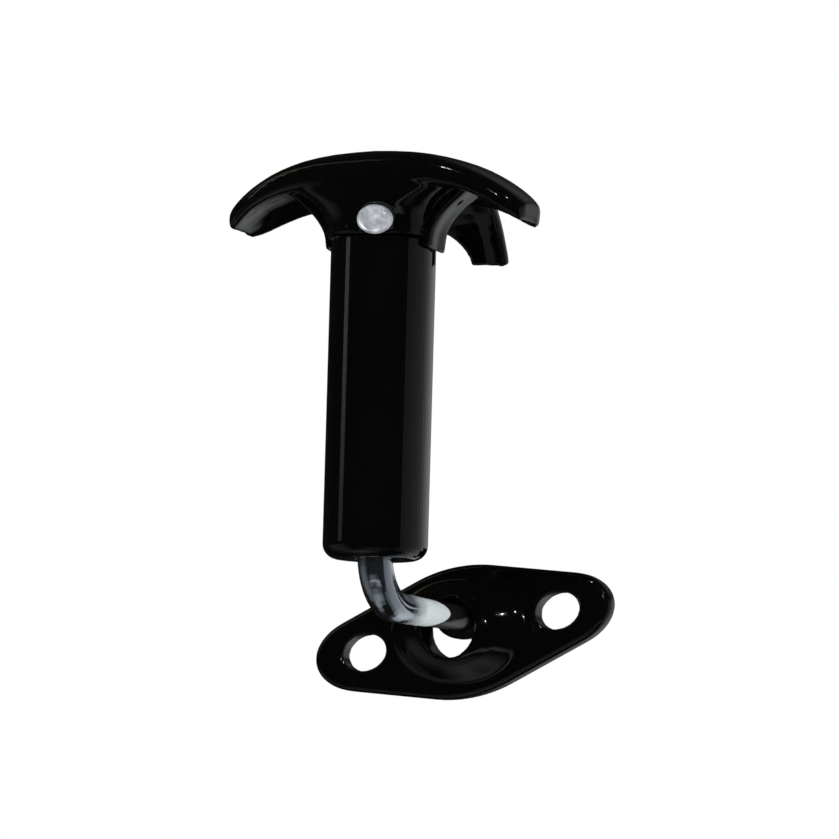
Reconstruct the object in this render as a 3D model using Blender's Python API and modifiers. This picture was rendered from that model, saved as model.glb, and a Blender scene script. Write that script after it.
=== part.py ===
"""Spring-loaded T-handle hold-down catch on a two-bolt diamond base.

World frame in metres: +Z runs up the barrel, +Y points out of the mounting face,
the origin is the middle of the mounting face. Dimensions below are millimetres.
"""

import math

import bmesh
import bpy

MM = 0.001
GAP = 0.3

# Base plate: long axis turned by PLATE_TURN in the mounting plane
PLATE_THICK = 4.6
PLATE_TURN = math.radians(10.5)
PLATE_MID = (25.5, 16.2)
PLATE_END = (14.2, 9.3)
BOLT_SPACING = 53.8
BOLT_HOLE = (6.1, 4.5)
DOME_BASE = 19.4
DOME_HEIGHT = 7.2
DOME_SQUAT = 0.70
POCKET = (13.0, 11.0)
POCKET_DEPTH = 4.2
DOME_HOLE = (7.2, 7.3)
DOME_HOLE_Z = 0.5

# Handle axis, barrel and its reduced neck inside the head
AXIS_Y = -49.3
BARREL_R = 12.7
BARREL_WALL = 1.6
BARREL_BOTTOM = 13.8
BARREL_CORNER = 3.6
COLLAR_Z = 91.3
NECK_R = 10.6
NECK_TOP = 103.5
ROD_BORE = 4.9

# Hook rod
ROD_R = 4.3
ROD_Z = 3.2
ROD_BEND = 12.5
ROD_FLAT = 0.26
ROD_TOP = 76.0
THREAD_START = 50.0
THREAD_PITCH = 1.4
THREAD_DEPTH = 0.45
TAIL = (7.3, 5.0)
TAIL_FRONT = -3.9
TAIL_BACK = -0.8

# Spring pack on the rod, inside the barrel
SEAT_R = 10.4
SEAT_THICK = 1.5
SPRING_R = 7.6
SPRING_WIRE = 1.2
SPRING_TURNS = 8.5
SPRING_LENGTH = 40.0
NUT_ACROSS = 12.7
NUT_HEIGHT = 6.4

# T-handle head
HEAD_TOP = 112.5
ARM_REACH = 40.2
COLLAR_R = 13.2
COLLAR_BORE = NECK_R + GAP
RIVET_Z = 94.8
RIVET_SHANK = 2.6
RIVET_HEAD = (4.2, 3.4)
RIVET_TURN = math.radians(18.0)
CLAW_HALF = 20.6


def clear_scene():
    for obj in list(bpy.data.objects):
        bpy.data.objects.remove(obj, do_unlink=True)
    for mesh in list(bpy.data.meshes):
        bpy.data.meshes.remove(mesh)
    for collection in list(bpy.data.collections):
        bpy.data.collections.remove(collection)


def make_collection(name):
    collection = bpy.data.collections.new(name)
    bpy.context.scene.collection.children.link(collection)
    return collection


def make_material(name, colour, metallic, roughness):
    material = bpy.data.materials.new(name)
    material.use_nodes = True
    shader = material.node_tree.nodes["Principled BSDF"]
    shader.inputs["Base Color"].default_value = (*colour, 1.0)
    shader.inputs["Metallic"].default_value = metallic
    shader.inputs["Roughness"].default_value = roughness
    material.diffuse_color = (*colour, 1.0)
    return material


def mesh_object(name, verts, faces, collection):
    mesh = bpy.data.meshes.new(name)
    mesh.from_pydata([tuple(c * MM for c in v) for v in verts], [], faces)
    obj = bpy.data.objects.new(name, mesh)
    collection.objects.link(obj)
    fix_normals(obj)
    return obj


def fix_normals(obj):
    bm = bmesh.new()
    bm.from_mesh(obj.data)
    bmesh.ops.remove_doubles(bm, verts=bm.verts, dist=0.00001)
    bmesh.ops.recalc_face_normals(bm, faces=bm.faces)
    bm.to_mesh(obj.data)
    bm.free()


def bake(obj, outward=True):
    """Replace the object by a mesh with its curve or modifiers applied."""
    graph = bpy.context.evaluated_depsgraph_get()
    mesh = bpy.data.meshes.new_from_object(obj.evaluated_get(graph))
    name = obj.name
    collection = obj.users_collection[0]
    bpy.data.objects.remove(obj, do_unlink=True)
    baked = bpy.data.objects.new(name, mesh)
    collection.objects.link(baked)
    if outward:
        fix_normals(baked)
    return baked


def loft(name, rings, collection):
    """Closed solid through rings that all have the same number of points."""
    count = len(rings[0])
    verts = [point for ring in rings for point in ring]
    faces = [list(range(count))]
    for level in range(len(rings) - 1):
        low = level * count
        high = low + count
        for i in range(count):
            j = (i + 1) % count
            faces.append([low + i, low + j, high + j, high + i])
    faces.append(list(range((len(rings) - 1) * count, len(rings) * count)))
    return mesh_object(name, verts, faces, collection)


def turned(name, profile, steps, collection, closed=False):
    """Turned piece about Z from (radius, height) points, outer side first, downwards."""
    mesh = bpy.data.meshes.new(name)
    edges = [(i, i + 1) for i in range(len(profile) - 1)]
    if closed:
        edges.append((len(profile) - 1, 0))
    mesh.from_pydata([(r * MM, 0.0, z * MM) for r, z in profile], edges, [])
    obj = bpy.data.objects.new(name, mesh)
    collection.objects.link(obj)
    screw = obj.modifiers.new("Screw", "SCREW")
    screw.axis = "Z"
    screw.angle = 2 * math.pi
    screw.steps = steps
    screw.render_steps = steps
    screw.use_merge_vertices = True
    screw.merge_threshold = 0.00001
    return bake(obj)


def move_points(obj, change):
    for vert in obj.data.vertices:
        x, y, z = (c / MM for c in vert.co)
        vert.co = [c * MM for c in change(x, y, z)]
    fix_normals(obj)
    return obj


def shift(obj, dx, dy, dz):
    return move_points(obj, lambda x, y, z: (x + dx, y + dy, z + dz))


def point_forward(obj):
    """Turn a piece made about Z so that its top faces -Y."""
    return move_points(obj, lambda x, y, z: (x, -z, y))


def turn_about_z(obj, angle):
    c, s = math.cos(angle), math.sin(angle)
    return move_points(obj, lambda x, y, z: (x * c - y * s, x * s + y * c, z))


def combine(obj, other, operation):
    other.hide_render = True
    other.display_type = "WIRE"
    step = obj.modifiers.new(operation.title(), "BOOLEAN")
    step.operation = operation
    step.solver = "EXACT"
    step.object = other
    return bake(obj, outward=False)


def soften(obj, width, segments, angle=math.radians(30.0)):
    bevel = obj.modifiers.new("Bevel", "BEVEL")
    bevel.width = width * MM
    bevel.segments = segments
    bevel.limit_method = "ANGLE"
    bevel.angle_limit = angle
    return bake(obj)


def arc(centre, radius, start, end, count):
    points = []
    for i in range(count + 1):
        t = math.radians(start + (end - start) * i / count)
        points.append((centre[0] + radius * math.cos(t), centre[1] + radius * math.sin(t)))
    return points


def smooth_step(t):
    t = min(max(t, 0.0), 1.0)
    return t * t * (3.0 - 2.0 * t)


def blend(table, x):
    """Smooth curve through (position, value) pairs."""
    if x <= table[0][0]:
        return table[0][1]
    for i in range(len(table) - 1):
        (a, low), (b, high) = table[i], table[i + 1]
        if x > b:
            continue
        before = table[i - 1] if i else (a, low)
        after = table[i + 2] if i + 2 < len(table) else (b, high)
        rise_low = (high - before[1]) / (b - before[0])
        rise_high = (after[1] - low) / (after[0] - a)
        t = (x - a) / (b - a)
        near = (1 + 2 * t) * (1 - t) ** 2 * low + t * (1 - t) ** 2 * (b - a) * rise_low
        return near + t * t * (3 - 2 * t) * high - t * t * (1 - t) * (b - a) * rise_high
    return table[-1][1]


# ---------------------------------------------------------------- base plate


def hull(points):
    points = sorted(points)
    sides = []
    for order in (points, points[::-1]):
        side = []
        for p in order:
            while len(side) > 1:
                (ax, ay), (bx, by) = side[-2], side[-1]
                if (bx - ax) * (p[1] - ay) - (by - ay) * (p[0] - ax) > 1e-9:
                    break
                side.pop()
            side.append(p)
        sides.append(side[:-1])
    return sides[0] + sides[1]


def plate_turned(u, v):
    c, s = math.cos(PLATE_TURN), math.sin(PLATE_TURN)
    return u * c - v * s, u * s + v * c


def support_outline(inset, count=120):
    """Rounded diamond around the middle oval and the two end ovals, as an even ring."""
    points = []
    for centre, (a, b) in ((0.0, PLATE_MID), (-BOLT_SPACING / 2, PLATE_END), (BOLT_SPACING / 2, PLATE_END)):
        for i in range(360):
            t = math.radians(i)
            points.append((centre + (a - inset) * math.cos(t), (b - inset) * math.sin(t)))
    outline = hull(points)
    lengths = [0.0]
    loop = outline + [outline[0]]
    for (ax, ay), (bx, by) in zip(loop, loop[1:]):
        lengths.append(lengths[-1] + math.hypot(bx - ax, by - ay))
    ring = []
    k = 0
    for i in range(count):
        want = lengths[-1] * i / count
        while lengths[k + 1] < want:
            k += 1
        t = (want - lengths[k]) / (lengths[k + 1] - lengths[k])
        u = loop[k][0] + (loop[k + 1][0] - loop[k][0]) * t
        v = loop[k][1] + (loop[k + 1][1] - loop[k][1]) * t
        ring.append(plate_turned(u, v))
    return ring


def oval_cutter(name, centre, half, y_range, turn, cutters):
    rings = []
    for y in y_range:
        ring = []
        for i in range(40):
            t = 2 * math.pi * i / 40
            u, v = half[0] * math.cos(t), half[1] * math.sin(t)
            if turn:
                u, v = plate_turned(u, v)
            ring.append((centre[0] + u, y, centre[1] + v))
        rings.append(ring)
    return loft(name, rings, cutters)


def dome_profile():
    """Radius and height above the mounting face, from the crown outwards."""
    base = PLATE_THICK
    r, h = DOME_BASE, DOME_HEIGHT
    points = [(0.0, base + h), (5.0, base + h - 0.1), (8.8, base + h - 0.8)]
    points += [(10.8, base + h - 1.5), (12.8, base + h - 2.6), (14.5, base + h - 3.9), (15.8, base + 2.2)]
    points += [(16.7, base + 1.35), (17.4, base + 0.75), (18.1, base + 0.35)]
    points += [(18.8, base + 0.1), (r, base - 0.05)]
    points += [(r, base - 1.5), (0.0, base - 1.5)]
    return points


def build_base_plate(parts, cutters):
    levels = [(0.0, 0.5), (0.5, 0.0), (2.9, 0.0), (3.6, 0.2), (4.2, 0.65), (4.5, 1.2), (4.6, 1.9)]
    rings = []
    for depth, inset in levels:
        rings.append([(x, -depth, z) for x, z in support_outline(inset)])
    plate = loft("base_plate", rings, parts)

    dome = turned("cut_dome", dome_profile(), 72, cutters)
    dome = point_forward(dome)
    dome = move_points(dome, lambda x, y, z: (x, y, z * DOME_SQUAT))
    plate = combine(plate, dome, "UNION")

    pocket = oval_cutter("cut_pocket", (0.0, 0.0), POCKET, (-POCKET_DEPTH, 1.0), False, cutters)
    plate = combine(plate, pocket, "DIFFERENCE")
    hole = oval_cutter("cut_dome_hole", (0.0, DOME_HOLE_Z), DOME_HOLE, (-20.0, 2.0), False, cutters)
    plate = combine(plate, hole, "DIFFERENCE")
    for side in (-1, 1):
        centre = plate_turned(side * BOLT_SPACING / 2, 0.0)
        bolt = oval_cutter("cut_bolt_hole", centre, BOLT_HOLE, (-10.0, 2.0), True, cutters)
        plate = combine(plate, bolt, "DIFFERENCE")
    return plate


# ------------------------------------------------------------------ hook rod


def flatten_run(x, y, z):
    """Press the lower run of the rod gently oval towards its tail."""
    if z > ROD_Z + ROD_BEND:
        return x, y, z
    press = ROD_FLAT * smooth_step((y - AXIS_Y - 2.0) / (ROD_BEND + 8.0))
    return x, y, ROD_Z + (z - ROD_Z) * (1.0 - press)


def build_hook_rod(parts, cutters):
    path = [(AXIS_Y, THREAD_START - 2.0), (AXIS_Y, 30.0)]
    corner = (AXIS_Y + ROD_BEND, ROD_Z + ROD_BEND)
    path += arc(corner, ROD_BEND, 180.0, 270.0, 14)
    path += [(-12.0, ROD_Z), (TAIL_FRONT + 1.0, ROD_Z)]
    curve = bpy.data.curves.new("hook_rod", "CURVE")
    curve.dimensions = "3D"
    curve.bevel_depth = ROD_R * MM
    curve.bevel_resolution = 8
    curve.use_fill_caps = True
    spline = curve.splines.new("POLY")
    spline.points.add(len(path) - 1)
    for point, (y, z) in zip(spline.points, path):
        point.co = (0.0, y * MM, z * MM, 1.0)
    rod = bpy.data.objects.new("hook_rod", curve)
    parts.objects.link(rod)
    rod = move_points(bake(rod), flatten_run)

    profile = [(0.0, ROD_TOP), (ROD_R - 1.0, ROD_TOP)]
    z = ROD_TOP - 0.7
    while z > THREAD_START + THREAD_PITCH:
        profile.append((ROD_R - 0.05, z))
        profile.append((ROD_R - THREAD_DEPTH, z - THREAD_PITCH / 2))
        z -= THREAD_PITCH
    profile += [(ROD_R - 0.05, THREAD_START), (ROD_R - 0.05, THREAD_START - 6.0), (0.0, THREAD_START - 6.0)]
    thread = turned("cut_rod_thread", profile, 32, cutters)
    thread = shift(thread, 0.0, AXIS_Y, 0.0)
    rod = combine(rod, thread, "UNION")

    tail = oval_cutter("cut_rod_tail", (0.0, ROD_Z), TAIL, (TAIL_FRONT, TAIL_BACK), False, cutters)
    tail = soften(tail, 0.6, 2)
    return combine(rod, tail, "UNION")


# -------------------------------------------------------------------- barrel


def build_barrel(parts, cutters):
    outer, inner = BARREL_R, BARREL_R - BARREL_WALL
    floor = BARREL_BOTTOM + 2.6
    corner = (outer - BARREL_CORNER, BARREL_BOTTOM + BARREL_CORNER)
    profile = [(NECK_R - 0.4, NECK_TOP), (NECK_R, NECK_TOP - 0.4), (NECK_R, COLLAR_Z - GAP)]
    profile += [(outer - 0.35, COLLAR_Z - GAP), (outer, COLLAR_Z - GAP - 0.35)]
    profile += arc(corner, BARREL_CORNER, 0.0, -90.0, 7)
    profile += [(ROD_BORE + 0.5, BARREL_BOTTOM), (ROD_BORE, BARREL_BOTTOM + 0.5), (ROD_BORE, floor)]
    profile += [(inner - 1.0, floor), (inner, floor + 1.0), (inner, COLLAR_Z - 6.0)]
    profile += [(NECK_R - BARREL_WALL, COLLAR_Z - 3.5), (NECK_R - BARREL_WALL, NECK_TOP)]
    barrel = turned("barrel", profile, 64, parts, closed=True)
    barrel = shift(barrel, 0.0, AXIS_Y, 0.0)
    return combine(barrel, rivet_bore("cut_barrel_bore", cutters), "DIFFERENCE")


def rivet_bore(name, cutters):
    radius = RIVET_SHANK + GAP
    bore = turned(name, [(0.0, 30.0), (radius, 30.0), (radius, -30.0), (0.0, -30.0)], 32, cutters)
    bore = turn_about_z(point_forward(bore), RIVET_TURN)
    return shift(bore, 0.0, AXIS_Y, RIVET_Z)


# ------------------------------------------------------------- T-handle head


ARM_DROP = [(0, 0.0), (8, 0.35), (14, 1.1), (20, 2.4), (26, 4.4)]
ARM_DROP += [(31, 6.8), (35, 9.2), (38, 11.4), (40.2, 13.4)]
ARM_FRONT = [(0, 13.0), (14, 12.4), (24, 11.2), (31, 9.9), (36, 8.4), (38.6, 7.0), (39.6, 5.9), (40.2, 4.4)]
ARM_HEIGHT = [(0, 12.0), (16, 9.8), (24, 8.5), (31, 7.8), (36, 7.2), (38.6, 6.2), (39.6, 5.2), (40.2, 3.4)]


def arm_section(x):
    """Closed section of the crossbar: crowned top, thin front rail, slanted hollow underside, rear lip."""
    side = abs(x)
    front = blend(ARM_FRONT, side)
    rear = front * 0.88
    tall = blend(ARM_HEIGHT, side)
    top = HEAD_TOP - blend(ARM_DROP, side)
    low = top - tall
    thin = smooth_step((side - 8.0) / 10.0) * smooth_step((ARM_REACH - side) / 8.0)
    lip = 0.14 * tall
    hollow = 0.24 * tall * smooth_step((ARM_REACH - side) / 8.0)
    points = []
    for i in range(21):
        t = math.pi * i / 20
        y = -math.cos(t)
        reach, fall = (front, 0.55 - 0.10 * thin) if y < 0 else (rear, 0.55)
        wide = math.copysign(abs(y) ** 0.72, y) * reach
        points.append((wide, top - tall * fall * (1.0 - abs(math.sin(t)) ** 0.75)))
    points.append((rear - 0.4, low + 0.15 * tall - lip))
    points.append((rear - 1.0, low - 0.7 * lip))
    points.append((rear - 1.8, low - lip))
    points.append((rear - 2.6, low - 0.6 * lip))
    nose = (0.36 - 0.08 * thin) * tall
    rail = low + 0.18 * thin * tall
    inner = (rear - 3.2, low - 0.2 * lip)
    outer = (-front + nose + 0.6, rail)
    for i in range(7):
        t = i / 6
        y = inner[0] + (outer[0] - inner[0]) * t
        z = inner[1] + (outer[1] - inner[1]) * t
        points.append((y, z + hollow * math.sin(math.pi * t)))
    points += arc((-front + nose, rail + nose), nose, 270.0, 186.0, 5)[1:]
    return [(x, AXIS_Y + y, z) for y, z in points]


def build_crossbar(parts):
    stations = [0.0, 5.0, 10.0, 14.0, 18.0, 21.0, 24.0, 27.0, 30.0, 32.5, 35.0, 37.0, 38.6, 39.6, 40.2]
    xs = [-x for x in stations[:0:-1]] + stations
    return loft("t_handle", [arm_section(x) for x in xs], parts)


COLLAR_WIDE = [(91.3, 13.2), (94, 13.5), (97, 14.4), (99, 15.6)]
COLLAR_WIDE += [(101, 17.6), (103, 20.8), (105, 25.0), (107, 28.0)]


def collar_section(z):
    """Round at the bottom, squarer and wider as it fans out under the arms."""
    wide = blend(COLLAR_WIDE, z)
    square = smooth_step((z - 93.0) / 10.0)
    power = 1.0 - 0.45 * square
    deep = COLLAR_R - 1.6 * smooth_step((z - 99.0) / 8.0)
    ring = []
    for i in range(64):
        t = 2 * math.pi * i / 64
        c, s = math.cos(t), math.sin(t)
        x = math.copysign(abs(c) ** power, c) * wide
        y = math.copysign(abs(s) ** power, s) * deep
        ring.append((x, AXIS_Y + y, z))
    return ring


def build_collar(cutters):
    levels = [91.3, 91.9, 94.0, 96.0, 98.0, 99.5, 101.0, 102.5, 104.0, 105.5]
    rings = [collar_section(z) for z in levels]
    cx, cy = 0.0, AXIS_Y
    rings[0] = [(cx + (x - cx) * 0.965, cy + (y - cy) * 0.965, z) for x, y, z in rings[0]]
    return loft("cut_collar", rings, cutters)


GUSSET_EDGE = [(88.4, 14.3), (90.0, 14.5), (92.6, 14.9), (95, 16.2)]
GUSSET_EDGE += [(97, 17.8), (99, 20.0), (101, 22.6), (105, 27.0)]


def build_gusset(side, cutters):
    """Cheek beside the barrel that sweeps out under one arm."""
    inner = BARREL_R + GAP + 0.1
    rings = []
    for level in range(12):
        z = 88.4 + 16.5 * level / 11
        outer = blend(GUSSET_EDGE, z)
        slope = 1.1 * (1.0 - smooth_step((z - 88.4) / 4.0))
        corners = [(inner, -2.6), (outer - 1.7, -4.2), (outer - 0.8, -4.0), (outer - 0.2, -3.2)]
        corners += [(outer, -2.2), (outer - 0.25, 1.0), (outer, 4.2), (outer - 0.2, 4.9)]
        corners += [(outer - 0.9, 5.3), (outer - 1.7, 5.2), (inner, 4.6)]
        rings.append([(side * x, AXIS_Y + y, z + slope * (0.6 - (y + 4.2) / 9.5)) for x, y in corners])
    return loft("cut_gusset", rings, cutters)


CLAW_LINE = [(5.0, 106.5), (9.0, 106.0), (12.5, 104.7), (15.7, 102.8), (18.4, 100.5), (20.8, 97.8)]
CLAW_LINE += [(22.9, 95.0), (24.7, 92.2), (26.2, 89.8), (27.2, 88.0)]


def claw_section(index, half):
    """Section across the rear claw, square to its centre line, with a raised inner rim."""
    y, z = CLAW_LINE[index]
    before = CLAW_LINE[max(index - 1, 0)]
    after = CLAW_LINE[min(index + 1, len(CLAW_LINE) - 1)]
    dy, dz = after[0] - before[0], after[1] - before[1]
    size = math.hypot(dy, dz)
    ny, nz = -dz / size, dy / size
    thick = 2.3 - 0.7 * index / (len(CLAW_LINE) - 1)
    outline = []
    for i in range(-8, 9):
        t = i / 8
        outline.append((t * (half - 1.1), thick * (1.0 - 0.30 * t * t)))
    outline.append((half - 0.4, 0.35 * thick))
    outline.append((half, -0.15 * thick))
    outline.append((half - 0.1, -0.65 * thick))
    for i in range(8, -9, -1):
        t = i / 8
        rim = 0.7 * smooth_step((abs(t) - 0.78) / 0.16)
        outline.append((t * (half - 0.7), -thick * 0.7 - rim))
    outline.append((-half + 0.1, -0.65 * thick))
    outline.append((-half, -0.15 * thick))
    outline.append((-half + 0.4, 0.35 * thick))
    return [(x, AXIS_Y + y + ny * n, z + nz * n) for x, n in outline]


def build_claw(cutters):
    rings = []
    for index in range(len(CLAW_LINE)):
        half = CLAW_HALF + 1.2 - 1.6 * index / (len(CLAW_LINE) - 1)
        rings.append(claw_section(index, half))
    claw = loft("cut_claw", rings, cutters)
    reach = (AXIS_Y + 6.0, AXIS_Y + 40.0)
    arch = oval_cutter("cut_claw_arch", (0.0, 87.5), (10.4, 8.8), reach, False, cutters)
    return combine(claw, arch, "DIFFERENCE")


def build_t_handle(parts, cutters):
    head = build_crossbar(parts)
    head = combine(head, build_collar(cutters), "UNION")
    for side in (-1, 1):
        head = combine(head, build_gusset(side, cutters), "UNION")
    head = combine(head, build_claw(cutters), "UNION")
    socket_top = NECK_TOP + GAP
    profile = [(0.0, socket_top), (COLLAR_BORE, socket_top), (COLLAR_BORE, 80.0), (0.0, 80.0)]
    socket = turned("cut_socket", profile, 48, cutters)
    socket = shift(socket, 0.0, AXIS_Y, 0.0)
    head = combine(head, socket, "DIFFERENCE")
    return combine(head, build_rivet_seat(cutters), "DIFFERENCE")


def build_rivet_seat(cutters):
    """Cross bore with an oval counterbore at each end."""
    seat = COLLAR_R - 0.9
    bore = RIVET_SHANK + GAP
    wide = RIVET_HEAD[0] + 0.55
    squat = (RIVET_HEAD[1] + 0.55) / wide
    profile = [(0.0, 17.0), (wide, 17.0), (wide, seat), (bore, seat)]
    profile += [(bore, -seat), (wide, -seat), (wide, -15.0), (0.0, -15.0)]
    cutter = point_forward(turned("cut_rivet_seat", profile, 40, cutters))
    cutter = move_points(cutter, lambda x, y, z: (x, y, z * squat if math.hypot(x, z) > bore + 0.1 else z))
    cutter = turn_about_z(cutter, RIVET_TURN)
    return shift(cutter, 0.0, AXIS_Y, RIVET_Z)


# --------------------------------------------------------------- small pieces


def build_cross_rivet(parts):
    """Shank through the collar with an oval domed head at each end."""
    seat = COLLAR_R - 0.9 + GAP
    rim, crown = seat + 0.55, seat + 1.5
    head = [(0.0, crown), (1.4, crown - 0.06), (2.5, crown - 0.3), (3.3, crown - 0.62)]
    head += [(3.5, crown - 0.55), (3.9, crown - 0.5), (4.25, rim - 0.05), (4.4, seat + 0.3), (4.4, seat)]
    profile = head + [(RIVET_SHANK, seat), (RIVET_SHANK, -seat)]
    profile += [(r, -z) for r, z in head[::-1]]
    rivet = turned("cross_rivet", profile, 40, parts)
    rivet = point_forward(rivet)
    squat = RIVET_HEAD[1] / RIVET_HEAD[0]
    rivet = move_points(rivet, lambda x, y, z: (x, y, z * squat if abs(y) > seat - 0.01 else z))
    rivet = turn_about_z(rivet, RIVET_TURN)
    return shift(rivet, 0.0, AXIS_Y, RIVET_Z)


def washer(name, bottom, parts):
    bore = ROD_BORE
    top = bottom + SEAT_THICK
    profile = [(SEAT_R - 0.25, top), (SEAT_R, top - 0.25), (SEAT_R, bottom + 0.25), (SEAT_R - 0.25, bottom)]
    profile += [(bore + 0.2, bottom), (bore, bottom + 0.2), (bore, top - 0.2), (bore + 0.2, top)]
    obj = turned(name, profile, 48, parts, closed=True)
    return shift(obj, 0.0, AXIS_Y, 0.0)


def build_spring(bottom, parts):
    """Compression spring with a closed turn at each end."""
    low = bottom + SPRING_WIRE
    high = bottom + SPRING_LENGTH - SPRING_WIRE
    dead = 2.0 * SPRING_WIRE + 0.25
    steps = int(SPRING_TURNS * 24)
    curve = bpy.data.curves.new("compression_spring", "CURVE")
    curve.dimensions = "3D"
    curve.bevel_depth = SPRING_WIRE * MM
    curve.bevel_resolution = 2
    curve.use_fill_caps = True
    spline = curve.splines.new("POLY")
    spline.points.add(steps)
    for i, point in enumerate(spline.points):
        turn = SPRING_TURNS * i / steps
        if turn < 1.0:
            z = low + dead * turn
        elif turn > SPRING_TURNS - 1.0:
            z = high - dead * (SPRING_TURNS - turn)
        else:
            z = low + dead + (high - low - 2.0 * dead) * (turn - 1.0) / (SPRING_TURNS - 2.0)
        angle = 2 * math.pi * turn
        x, y = SPRING_R * math.cos(angle), SPRING_R * math.sin(angle)
        point.co = (x * MM, (AXIS_Y + y) * MM, z * MM, 1.0)
    spring = bpy.data.objects.new("compression_spring", curve)
    parts.objects.link(spring)
    return bake(spring)


def build_lock_nut(bottom, parts, cutters):
    flat = NUT_ACROSS / 2
    corner = flat / math.cos(math.pi / 6)
    rings = []
    for z, scale in ((0.0, 0.90), (0.7, 1.0), (NUT_HEIGHT - 0.7, 1.0), (NUT_HEIGHT, 0.90)):
        ring = []
        for i in range(48):
            t = 2 * math.pi * i / 48
            local = (t + math.pi / 6) % (math.pi / 3) - math.pi / 6
            radius = min(flat / math.cos(local), corner * scale)
            ring.append((radius * math.cos(t), AXIS_Y + radius * math.sin(t), bottom + z))
        rings.append(ring)
    nut = loft("lock_nut", rings, parts)
    bore = ROD_R + GAP
    profile = [(0.0, bottom + 10.0), (bore, bottom + 10.0), (bore, bottom - 4.0), (0.0, bottom - 4.0)]
    drill = shift(turned("cut_nut_bore", profile, 32, cutters), 0.0, AXIS_Y, 0.0)
    return combine(nut, drill, "DIFFERENCE")


# ------------------------------------------------------------------- finish


def finish(obj, material, origin):
    obj.data.materials.clear()
    obj.data.materials.append(material)
    for polygon in obj.data.polygons:
        polygon.material_index = 0
    bm = bmesh.new()
    bm.from_mesh(obj.data)
    bmesh.ops.dissolve_degenerate(bm, edges=bm.edges, dist=0.000002)
    bmesh.ops.triangulate(bm, faces=bm.faces, quad_method="BEAUTY", ngon_method="BEAUTY")
    for vert in bm.verts:
        for axis in range(3):
            vert.co[axis] -= origin[axis] * MM
    bm.to_mesh(obj.data)
    bm.free()
    obj.location = [c * MM for c in origin]
    obj.data.shade_smooth()
    obj.data.set_sharp_from_angle(angle=math.radians(35.0))


def main():
    clear_scene()
    parts = make_collection("hood_catch")
    cutters = make_collection("cutters")
    cutters.hide_render = True

    black = (0.012, 0.012, 0.013)
    zinc = (0.78, 0.79, 0.82)
    steel = (0.48, 0.48, 0.5)
    swivel = (0.0, -PLATE_THICK, ROD_Z)
    axis = (0.0, AXIS_Y, 60.0)
    seat = BARREL_BOTTOM + 2.6 + GAP
    spring = seat + SEAT_THICK + GAP
    upper = spring + SPRING_LENGTH + GAP
    nut = upper + SEAT_THICK + GAP

    pieces = [
        (build_base_plate(parts, cutters), ("base_black_enamel", black, 0.0, 0.16), (0.0, 0.0, 0.0)),
        (build_hook_rod(parts, cutters), ("hook_bright_zinc", zinc, 1.0, 0.22), swivel),
        (build_barrel(parts, cutters), ("barrel_black_enamel", black, 0.0, 0.14), axis),
        (build_t_handle(parts, cutters), ("head_black_enamel", black, 0.0, 0.15), axis),
        (build_cross_rivet(parts), ("rivet_bright_zinc", zinc, 1.0, 0.25), axis),
        (washer("lower_spring_seat", seat, parts), ("lower_seat_zinc", zinc, 1.0, 0.35), axis),
        (build_spring(spring, parts), ("spring_steel", steel, 1.0, 0.4), axis),
        (washer("upper_spring_seat", upper, parts), ("upper_seat_zinc", zinc, 1.0, 0.35), axis),
        (build_lock_nut(nut, parts, cutters), ("nut_zinc", zinc, 1.0, 0.3), axis),
    ]
    for obj, look, origin in pieces:
        finish(obj, make_material(*look), origin)
    for obj in list(cutters.objects):
        obj.hide_render = True
        obj.display_type = "WIRE"


main()
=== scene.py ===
import math

import bpy
from mathutils import Matrix, Vector


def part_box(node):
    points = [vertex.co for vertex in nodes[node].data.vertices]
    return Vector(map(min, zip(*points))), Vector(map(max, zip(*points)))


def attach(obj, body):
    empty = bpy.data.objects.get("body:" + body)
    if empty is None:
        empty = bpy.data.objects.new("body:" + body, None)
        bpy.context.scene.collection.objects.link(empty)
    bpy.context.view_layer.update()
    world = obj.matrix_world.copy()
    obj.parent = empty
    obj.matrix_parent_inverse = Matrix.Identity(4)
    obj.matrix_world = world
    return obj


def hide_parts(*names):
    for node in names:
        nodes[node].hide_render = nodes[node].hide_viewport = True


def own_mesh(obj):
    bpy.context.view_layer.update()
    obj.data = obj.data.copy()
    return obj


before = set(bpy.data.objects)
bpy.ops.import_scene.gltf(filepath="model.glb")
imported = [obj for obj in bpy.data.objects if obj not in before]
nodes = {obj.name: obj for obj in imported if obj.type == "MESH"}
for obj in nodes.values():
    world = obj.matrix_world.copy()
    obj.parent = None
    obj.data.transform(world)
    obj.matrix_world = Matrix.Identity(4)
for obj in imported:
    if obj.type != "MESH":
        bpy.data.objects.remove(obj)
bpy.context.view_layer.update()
barrel_low, barrel_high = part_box("barrel")
axis_y = (barrel_low.y + barrel_high.y) / 2

# Lengths are in metres and angles in degrees, in the frame's axes.
ROD_Z = 0.0032  # height of the rod's lower run

CREASE = math.radians(32.0)  # faces that meet more sharply keep their edge

# node: voxel size and rounds of smoothing that blend its cast pieces
SOFT_JOINS = {
    "t_handle": (0.0004, 6),
    "base_plate": (0.0004, 8),
    "hook_rod": (0.0003, 4),
}

# The painted reflection, a paler and less metallic patch on the rod's lower run, fades in between
# these depths.
PAINTED_REFLECTION_SPAN = (-0.034, -0.025)
# The painted shade, a dark patch where the rod enters the dome, starts here on the rod's axis, and
# nearer the front off it.
PAINTED_SHADE_EDGE = (-0.0176, -0.0170)
PAINTED_SHADE_CURVE = 450.0
PAINTED_SHADE_REACH = 0.0085  # the most that the curve adds, so that the painted shade stays on the tail

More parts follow.
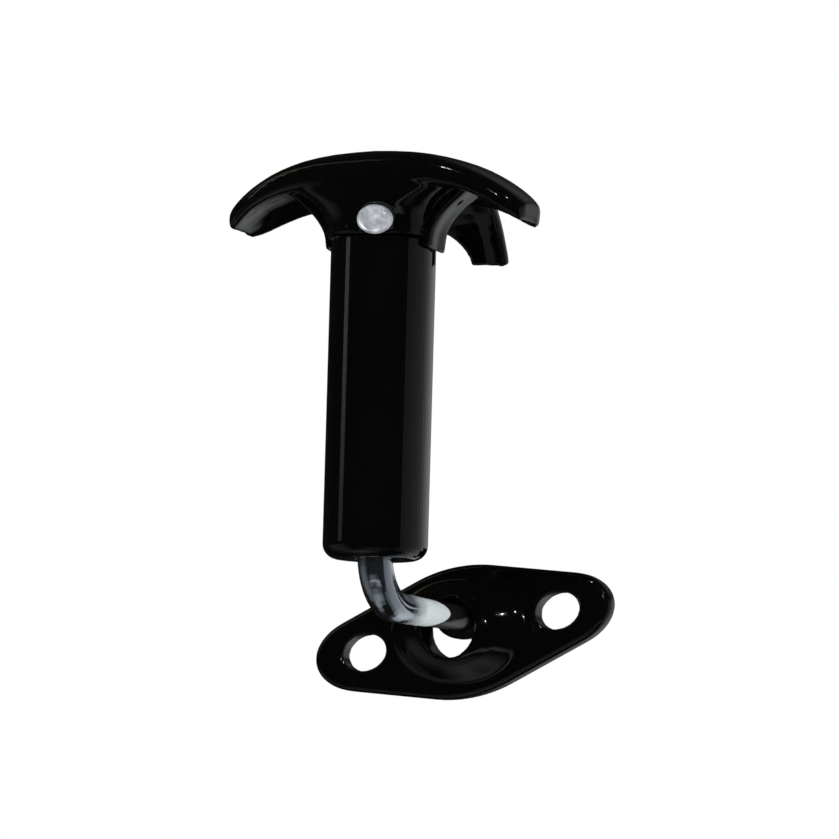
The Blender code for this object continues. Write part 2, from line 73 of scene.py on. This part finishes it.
AZIMUTH = math.radians(28.0)
ELEVATION = math.radians(-5.5)
ROLL = math.radians(1.6)
DISTANCE = 2.2
LENS = 392.0
SENSOR = 36.0
AIM_Z = 0.048
AIM_ASIDE = 0.0098
TOWARDS = Vector(
    (
        math.sin(AZIMUTH) * math.cos(ELEVATION),
        -math.cos(AZIMUTH) * math.cos(ELEVATION),
        math.sin(ELEVATION),
    )
)
RIGHT = Vector((math.cos(AZIMUTH), math.sin(AZIMUTH), 0.0))
FRONT = Vector((math.sin(AZIMUTH), -math.cos(AZIMUTH), 0.0))
UP = Vector((0.0, 0.0, 1.0))

FLOOR_RADIUS = 1.6
FLOOR_Z = -0.26  # below the camera, which looks slightly up
FLOOR_SIDES = 64

# A turn is to the right of the camera's side; a rise is above the horizon.
# name, turn, rise, distance, radius, watts
LAMPS = (
    ("glint_left", -32.0, 48.0, 1.0, 0.016, 1.6),
    ("glint_right", 24.0, 40.0, 1.0, 0.012, 1.4),
    ("flash", -12.0, 17.0, 1.1, 0.014, 1.4),
)
LAMP_Z = 0.08  # the height that a lamp's rise starts from

# The panels that gloss reflects: turns and rises, each as low, high and fade, then strength.
ROOM_DARK = 0.008
COOL = (0.94, 0.97, 1.0)
COOL_PANELS = (
    ((57, 166, 3), (-50, 14, 8), 0.13),  # broad, on the right
    ((84, 166, 20), (-50, 14, 8), 0.12),  # brighter part of it
    ((118, 162, 14), (-50, 14, 8), 0.30),  # brightest part, towards the back
    ((105, 166, 12), (24, 50, 8), 0.14),  # above it
    ((-87, -84.5, 1.2), (5.0, 60, 1.3), 1.1),  # thin and upright, on the left
    ((-60, 30, 12), (-46, -40, 3), 0.45),  # low strip in front
    ((-150, 40, 25), (-86, -62, 10), 0.25),  # underneath
    ((-122, -78, 12), (-58, -10, 7), 0.12),  # low on the left
)
WARM = (1.0, 0.86, 0.5)
WARM_PANELS = (((-112, -84, 8), (22, 40, 6), 0.34),)  # high on the left


# ------------------------------------------------------------------ materials


class Graph:
    """Small helper that adds shader nodes and links them in one line each."""

    def __init__(self, owner, place="Object"):
        owner.use_nodes = True
        self.tree = owner.node_tree
        self.shader = self.tree.nodes.get("Principled BSDF")
        self.place = self.tree.nodes.new("ShaderNodeTexCoord").outputs[place]

    def feed(self, socket, value):
        """Link a socket to another, or set a constant on it."""
        if isinstance(value, bpy.types.NodeSocket):
            self.tree.links.new(value, socket)
        else:
            socket.default_value = value

    def add(self, kind, settings=None, **inputs):
        """A node with its inputs given by name, or as i0, i1 by number."""
        node = self.tree.nodes.new(kind)
        for key, value in (settings or {}).items():
            setattr(node, key, value)
        for key, value in inputs.items():
            numbered = key[0] == "i" and key[1:].isdigit()
            self.feed(node.inputs[int(key[1:]) if numbered else key], value)
        return node

    def noise(self, scale, detail=3.0, rough=0.5, stretch=None):
        vector = self.place
        if stretch:
            mapping = self.add("ShaderNodeMapping", Vector=vector, Scale=stretch)
            vector = mapping.outputs["Vector"]
        facts = {"Scale": scale, "Detail": detail, "Roughness": rough}
        return self.add("ShaderNodeTexNoise", Vector=vector, **facts).outputs["Fac"]

    def ramp(self, value, low, high, to_low, to_high):
        limits = {"From Min": low, "From Max": high, "To Min": to_low, "To Max": to_high}
        return self.add("ShaderNodeMapRange", Value=value, **limits).outputs["Result"]

    def math(self, operation, a, b):
        return self.add("ShaderNodeMath", {"operation": operation}, i0=a, i1=b).outputs[0]

    def dot(self, a, b):
        settings = {"operation": "DOT_PRODUCT"}
        return self.add("ShaderNodeVectorMath", settings, i0=a, i1=b).outputs["Value"]

    def mix(self, factor, a, b):
        """Blend two colours, each an RGB triple or a socket."""
        a, b = (c if isinstance(c, bpy.types.NodeSocket) else (*c, 1.0) for c in (a, b))
        settings = {"data_type": "RGBA"}
        return self.add("ShaderNodeMix", settings, i0=factor, i6=a, i7=b).outputs[2]

    def bump(self, height, strength, distance, normal=None):
        inputs = {"Height": height, "Strength": strength, "Distance": distance}
        if normal:
            inputs["Normal"] = normal
        return self.add("ShaderNodeBump", **inputs).outputs["Normal"]

    def worn_edge(self, radius, noise):
        """1 on sharp outer edges, broken up by noise, and 0 on open faces."""
        bevel = self.add("ShaderNodeBevel", {"samples": 6}, Radius=radius).outputs["Normal"]
        plain = self.add("ShaderNodeNewGeometry").outputs["Normal"]
        edge = self.ramp(self.dot(bevel, plain), 0.985, 0.90, 0.0, 1.0)
        return self.math("MULTIPLY", edge, self.ramp(noise, 0.48, 0.62, 0.0, 1.0))

    def set(self, **values):
        """Set the Principled shader's inputs; an underscore stands for a space."""
        for key, value in values.items():
            self.feed(self.shader.inputs[key.replace("_", " ")], value)


def black_enamel(name, peel_scale, peel_depth, wear):
    """Gloss black with a slight orange peel, fine specks and thinner paint on the edges."""
    material = bpy.data.materials.new(name)
    g = Graph(material)
    cloud = g.noise(38.0, 4.0, 0.55)
    specks = g.noise(2600.0, 2.0, 0.6)
    peel = g.noise(peel_scale, 2.0, 0.45)
    edge = g.worn_edge(0.0005, g.noise(900.0, 5.0, 0.65))
    tint = g.mix(cloud, (0.0006, 0.0006, 0.0007), (0.0018, 0.0017, 0.0016))
    tint = g.mix(g.math("MULTIPLY", edge, wear), tint, (0.03, 0.028, 0.026))
    rough = g.ramp(cloud, 0.3, 0.7, 0.055, 0.11)
    rough = g.math("ADD", rough, g.math("MULTIPLY", edge, 0.22))
    rough = g.math("ADD", rough, g.ramp(specks, 0.62, 0.8, 0.0, 0.10))
    normal = g.bump(peel, 0.35, peel_depth)
    normal = g.bump(specks, 0.12, 0.00002, normal)
    g.set(Base_Color=tint, Roughness=rough, Normal=normal)
    g.set(IOR=1.5, Coat_Weight=0.25, Coat_Roughness=0.03)
    return material


def bright_plate(name, blue, draw, coat_and_painted_light, polish):
    """Bright zinc with fine lines stretched by draw; the coat step changes its tint and metallic
    value, and for the rod it paints a reflection and a shade.
    """
    material = bpy.data.materials.new(name)
    g = Graph(material)
    cloud = g.noise(60.0, 4.0, 0.6)
    fine = g.noise(1500.0, 3.0, 0.6)
    lines = g.noise(700.0, 3.0, 0.6, draw)
    pale = (0.80 - blue * 0.1, 0.83 - blue * 0.03, 0.88)
    tint, metal = coat_and_painted_light(g, g.mix(cloud, (0.62, 0.65, 0.70), pale))
    rough = g.ramp(cloud, 0.3, 0.7, polish, polish + 0.07)
    rough = g.math("ADD", rough, g.ramp(lines, 0.35, 0.7, 0.0, 0.06))
    normal = g.bump(lines, 0.18, 0.00004)
    normal = g.bump(fine, 0.10, 0.00002, normal)
    g.set(Base_Color=tint, Roughness=rough, Metallic=metal, Normal=normal)
    return material


def tail_painted_reflection_and_shade(g, tint):
    """Painted reflection: a paler, less metallic patch on the lower run; painted shade: a dark
    patch where the rod enters the dome.
    """
    split = g.add("ShaderNodeSeparateXYZ", Vector=g.place)
    along = split.outputs["Y"]
    wander = g.math("MULTIPLY", g.noise(240.0, 3.0, 0.6), 0.006)
    # painted reflection: the lower run turns pale and less metallic
    painted_reflection = g.ramp(g.math("ADD", along, wander), *PAINTED_REFLECTION_SPAN, 0.0, 1.0)
    off = g.math("SUBTRACT", split.outputs["Z"], ROD_Z)
    curve = g.math("MULTIPLY", g.math("MULTIPLY", off, off), PAINTED_SHADE_CURVE)
    edge = g.math("ADD", along, g.math("MINIMUM", curve, PAINTED_SHADE_REACH))
    edge = g.math("ADD", edge, g.math("MULTIPLY", g.noise(900.0, 3.0, 0.6), 0.0006))
    # painted shade: dark where the rod enters the dome
    painted_shade = g.ramp(edge, *PAINTED_SHADE_EDGE, 0.0, 1.0)
    tint = g.mix(painted_reflection, tint, (0.84, 0.91, 0.93))
    tint = g.mix(painted_shade, tint, (0.010, 0.010, 0.011))
    metal = g.ramp(painted_reflection, 0.0, 1.0, 1.0, 0.10)
    return tint, g.math("MULTIPLY", metal, g.ramp(painted_shade, 0.0, 1.0, 1.0, 0.0))


def rivet_coat(g, tint):
    """Pale zinc with small brighter and duller spots."""
    speckle = g.noise(420.0, 4.0, 0.6)
    tint = g.mix(g.ramp(speckle, 0.35, 0.65, 0.0, 1.0), tint, (0.92, 0.95, 0.98))
    return tint, g.ramp(speckle, 0.35, 0.65, 0.60, 0.38)


def dull_zinc(name, tone):
    """Clouded matt metal for the pieces inside the barrel."""
    material = bpy.data.materials.new(name)
    g = Graph(material)
    cloud = g.noise(220.0, 5.0, 0.62)
    fine = g.noise(3200.0, 3.0, 0.6)
    tint = g.mix(cloud, tuple(0.55 * c for c in tone), tone)
    rough = g.ramp(cloud, 0.3, 0.7, 0.28, 0.46)
    g.set(Base_Color=tint, Roughness=rough, Metallic=1.0, Normal=g.bump(fine, 0.25, 0.00004))
    return material


def dress(node, material):
    mesh = nodes[node].data
    mesh.materials.clear()
    mesh.materials.append(material)
    mesh.shade_smooth()
    mesh.set_sharp_from_angle(angle=CREASE)


def soften_joins(node, voxel, rounds):
    """Blend the cast pieces of a node into each other with small fillets."""
    remesh = nodes[node].modifiers.new("blend", "REMESH")
    remesh.mode = "VOXEL"
    remesh.voxel_size = voxel
    remesh.use_smooth_shade = True
    smooth = nodes[node].modifiers.new("fillets", "SMOOTH")
    smooth.factor = 0.5
    smooth.iterations = rounds


def make_coil():
    """The spring as a separate copy with its own mesh, attached to the spring pack."""
    coil = bpy.data.objects.new("spring_coil", nodes["compression_spring"].data.copy())
    bpy.context.scene.collection.objects.link(coil)
    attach(coil, "spring_pack")
    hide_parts("compression_spring")
    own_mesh(coil)


dress("barrel", black_enamel("enamel_barrel", 420.0, 0.00003, 0.5))
dress("t_handle", black_enamel("enamel_head", 300.0, 0.00006, 1.0))
dress("base_plate", black_enamel("enamel_base", 340.0, 0.00005, 1.0))
for node, (voxel, rounds) in SOFT_JOINS.items():
    soften_joins(node, voxel, rounds)
# the rod's material carries a painted reflection on its lower run and painted shade where it enters
# the dome
rod_zinc = bright_plate("bright_zinc_rod", 1.0, (1.0, 1.0, 0.15), tail_painted_reflection_and_shade, 0.07)
dress("hook_rod", rod_zinc)
rivet_zinc = bright_plate("bright_zinc_rivet", 0.3, (1.0, 1.0, 1.0), rivet_coat, 0.16)
dress("cross_rivet", rivet_zinc)
dress("lower_spring_seat", dull_zinc("zinc_lower_seat", (0.72, 0.73, 0.76)))
dress("upper_spring_seat", dull_zinc("zinc_upper_seat", (0.72, 0.73, 0.76)))
dress("lock_nut", dull_zinc("zinc_nut", (0.70, 0.71, 0.73)))
dress("compression_spring", dull_zinc("spring_wire", (0.42, 0.42, 0.44)))
make_coil()


# ------------------------------------------------------ camera, floor, lights


def make_camera():
    data = bpy.data.cameras.new("camera")
    data.sensor_width = SENSOR
    data.lens = LENS
    data.clip_end = 20.0
    camera = bpy.data.objects.new("camera", data)
    bpy.context.scene.collection.objects.link(camera)
    target = Vector((0.0, axis_y, AIM_Z)) + RIGHT * AIM_ASIDE
    camera.location = target + TOWARDS * DISTANCE
    camera.rotation_mode = "QUATERNION"
    roll = Matrix.Rotation(ROLL, 4, "Z").to_quaternion()
    camera.rotation_quaternion = (-TOWARDS).to_track_quat("-Z", "Y") @ roll
    bpy.context.scene.camera = camera


def make_floor():
    """Pale disc under the part, which gloss doesn't reflect."""
    mesh = bpy.data.meshes.new("floor")
    angles = [i * 2 * math.pi / FLOOR_SIDES for i in range(FLOOR_SIDES)]
    ring = [(FLOOR_RADIUS * math.cos(a), FLOOR_RADIUS * math.sin(a), FLOOR_Z) for a in angles]
    mesh.from_pydata(ring, [], [list(range(FLOOR_SIDES))])
    floor = bpy.data.objects.new("floor", mesh)
    bpy.context.scene.collection.objects.link(floor)
    material = bpy.data.materials.new("pale_floor")
    g = Graph(material)
    tint = g.mix(g.noise(9.0, 3.0, 0.5), (0.88, 0.88, 0.88), (0.92, 0.92, 0.915))
    g.set(Base_Color=tint, Roughness=0.9)
    mesh.materials.append(material)
    floor.visible_glossy = False


def make_lamp(name, turn, rise, distance, radius, watts):
    """Small round lamp that gives sharp glints."""
    data = bpy.data.lights.new(name, "POINT")
    data.shadow_soft_size = radius
    data.energy = watts
    lamp = bpy.data.objects.new(name, data)
    angle, up = AZIMUTH + math.radians(turn), math.radians(rise)
    aside = distance * math.cos(up)
    height = LAMP_Z + distance * math.sin(up)
    lamp.location = (math.sin(angle) * aside, axis_y - math.cos(angle) * aside, height)
    bpy.context.scene.collection.objects.link(lamp)


def within(g, angle, limits):
    """1 between a low and a high angle, faded at both."""
    low, high, fade = limits
    above = g.ramp(angle, math.radians(low - fade), math.radians(low + fade), 0.0, 1.0)
    below = g.ramp(angle, math.radians(high - fade), math.radians(high + fade), 1.0, 0.0)
    return g.math("MULTIPLY", above, below)


def room(g, turn, rise, panels, dark, colour):
    """Background of one colour: soft-edged bright panels on a dark base."""
    total = dark
    for turns, rises, strength in panels:
        panel = g.math("MULTIPLY", within(g, turn, turns), within(g, rise, rises))
        total = g.math("ADD", g.math("MULTIPLY", panel, strength), total)
    return g.add("ShaderNodeBackground", Color=(*colour, 1.0), Strength=total).outputs[0]


def make_world():
    """White to look at; in gloss, a dark room with soft panels at fixed places around the part."""
    world = bpy.data.worlds.new("studio")
    g = Graph(world, "Generated")
    turn = g.math("ARCTAN2", g.dot(g.place, RIGHT), g.dot(g.place, FRONT))
    rise = g.math("ARCSINE", g.dot(g.place, UP), 0.0)
    cool = room(g, turn, rise, COOL_PANELS, ROOM_DARK, COOL)
    warm = room(g, turn, rise, WARM_PANELS, 0.0, WARM)
    studio = g.add("ShaderNodeAddShader", i0=cool, i1=warm)
    white = g.add("ShaderNodeBackground", Color=(1.0, 1.0, 1.0, 1.0))
    glossy = g.add("ShaderNodeLightPath").outputs["Is Glossy Ray"]
    choose = g.add("ShaderNodeMixShader", i0=glossy, i1=white.outputs[0], i2=studio.outputs[0])
    out = g.tree.nodes.get("World Output") or g.add("ShaderNodeOutputWorld")
    g.tree.links.new(choose.outputs[0], out.inputs["Surface"])
    bpy.context.scene.world = world


make_camera()
make_floor()
make_world()
for lamp in LAMPS:
    make_lamp(*lamp)
bpy.context.scene.view_settings.view_transform = "Standard"
